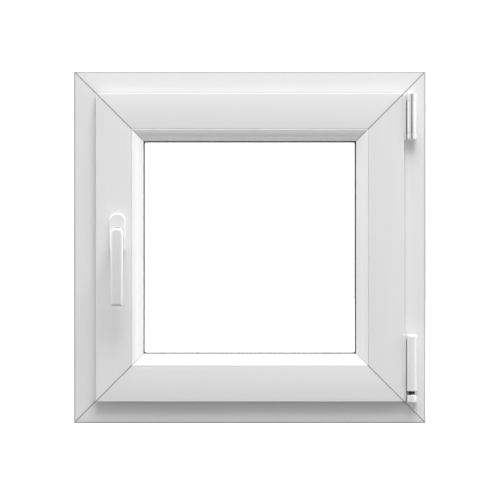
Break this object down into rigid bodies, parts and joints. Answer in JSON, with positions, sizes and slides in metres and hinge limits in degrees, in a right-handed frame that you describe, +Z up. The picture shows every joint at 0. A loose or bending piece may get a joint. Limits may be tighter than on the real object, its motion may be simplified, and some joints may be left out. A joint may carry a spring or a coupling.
{
  "type": "casement window",
  "caption": "Small square tilt-and-turn casement window in white uPVC, hinged on the right, with lever handle, glazed sash and concealed locking gear.",
  "frame": {"origin": "middle of the frame's bottom face, at half the frame's depth", "axes": "+X to the right as seen from the room, +Y through the wall to the outside, +Z up"},
  "size_m": [0.6, 0.1443, 0.6],
  "materials": {
    "pvc_white": "extruded white uPVC, satin gloss",
    "cap_white": "moulded white cap, fine satin",
    "coated_white": "white powder coat on die-cast metal",
    "galvanised_steel": "galvanised rolled steel",
    "zinc_hardware": "zinc-plated steel fittings",
    "grey_seal": "grey extruded weather seal",
    "black_seal": "black extruded weather seal",
    "spacer_aluminium": "satin aluminium spacer bar",
    "dark_nylon": "dark grey moulded nylon",
    "window_glass": "clear float glass"
  },
  "bodies": {
    "frame": {"frame_sill": "pvc_white", "frame_jamb_left": "pvc_white", "frame_head": "pvc_white", "frame_jamb_right": "pvc_white", "frame_steel_sill": "galvanised_steel", "frame_steel_jamb_left": "galvanised_steel", "frame_steel_head": "galvanised_steel", "frame_steel_jamb_right": "galvanised_steel", "frame_stop_seal": "black_seal", "drain_cap": "cap_white", "keeper_side_upper": "zinc_hardware", "keeper_side_lower": "zinc_hardware", "keeper_head": "zinc_hardware", "keeper_sill": "zinc_hardware", "lower_bearing": "coated_white", "upper_bearing": "coated_white"},
    "ball_pin": {"lower_hinge_pin": "galvanised_steel", "lower_hinge_nut": "dark_nylon"},
    "stay_pin": {"upper_hinge_pin": "coated_white"},
    "stay": {"stay_arm": "coated_white"},
    "handle": {"handle_lever": "coated_white", "handle_spindle": "galvanised_steel", "drive_pinion": "galvanised_steel"},
    "side_rod": {"drive_rod_side": "zinc_hardware"},
    "head_rod": {"drive_rod_head": "zinc_hardware"},
    "sill_rod": {"drive_rod_sill": "zinc_hardware"},
    "sash": {"sash_sill": "pvc_white", "sash_stile_left": "pvc_white", "sash_head": "pvc_white", "sash_stile_right": "pvc_white", "bead_bottom": "pvc_white", "bead_left": "pvc_white", "bead_top": "pvc_white", "bead_right": "pvc_white", "sash_steel_sill": "galvanised_steel", "sash_steel_stile_left": "galvanised_steel", "sash_steel_head": "galvanised_steel", "sash_steel_stile_right": "galvanised_steel", "handle_base": "galvanised_steel", "gasket_outer": "black_seal", "gasket_inner": "grey_seal", "sash_lip_seal": "grey_seal", "sash_lip_seal_hinge": "grey_seal", "lower_hinge_cover": "cap_white", "rosette_cover": "coated_white", "spacer_frame": "spacer_aluminium", "pane_inner": "window_glass", "pane_outer": "window_glass", "setting_block_left": "dark_nylon", "setting_block_right": "dark_nylon", "gearbox_case": "zinc_hardware", "face_plate_side": "zinc_hardware", "face_plate_head": "zinc_hardware", "face_plate_sill": "zinc_hardware", "corner_guide_upper": "zinc_hardware", "corner_guide_lower": "zinc_hardware", "handle_screw_lower": "zinc_hardware", "handle_screw_upper": "zinc_hardware", "lower_hinge_band": "zinc_hardware", "stay_guide": "zinc_hardware"}
  },
  "joints": [
    {"name": "sash_tilt", "type": "hinge", "parent": "frame", "child": "ball_pin", "pos_m": [0.2755, -0.045, 0.0425], "axis": [1, 0, 0], "range_deg": [0, 10.5]},
    {"name": "sash_turn", "type": "hinge", "parent": "ball_pin", "child": "sash", "pos_m": [0.2755, -0.045, 0.3], "axis": [0, 0, 1], "range_deg": [0, 95]},
    {"name": "stay_level", "type": "hinge", "parent": "sash", "child": "stay_pin", "pos_m": [0.2755, -0.045, 0.0425], "axis": [1, 0, 0], "range_deg": [-10.6, 0]},
    {"name": "stay_swing", "type": "hinge", "parent": "stay_pin", "child": "stay", "pos_m": [0.2755, -0.045, 0.548], "axis": [0, 0, 1], "range_deg": [0, 20.5]},
    {"name": "handle_turn", "type": "hinge", "parent": "sash", "child": "handle", "pos_m": [-0.225, -0.05, 0.323], "axis": [0, -1, 0], "range_deg": [0, 180]},
    {"name": "side_rod_slide", "type": "slide", "parent": "sash", "child": "side_rod", "axis": [0, 0, -1], "range_m": [0, 0.0347]},
    {"name": "head_rod_slide", "type": "slide", "parent": "sash", "child": "head_rod", "axis": [-1, 0, 0], "range_m": [0, 0.0347]},
    {"name": "sill_rod_slide", "type": "slide", "parent": "sash", "child": "sill_rod", "axis": [1, 0, 0], "range_m": [0, 0.0347]}
  ],
  "couplings": [
    {"joint": "stay_level", "follows": "sash_tilt", "ratio": -1},
    {"joint": "stay_swing", "follows": "sash_tilt", "ratio": 1.916},
    {"joint": "side_rod_slide", "follows": "handle_turn", "m_per_rad": 0.011},
    {"joint": "head_rod_slide", "follows": "handle_turn", "m_per_rad": 0.011},
    {"joint": "sill_rod_slide", "follows": "handle_turn", "m_per_rad": 0.011}
  ]
}
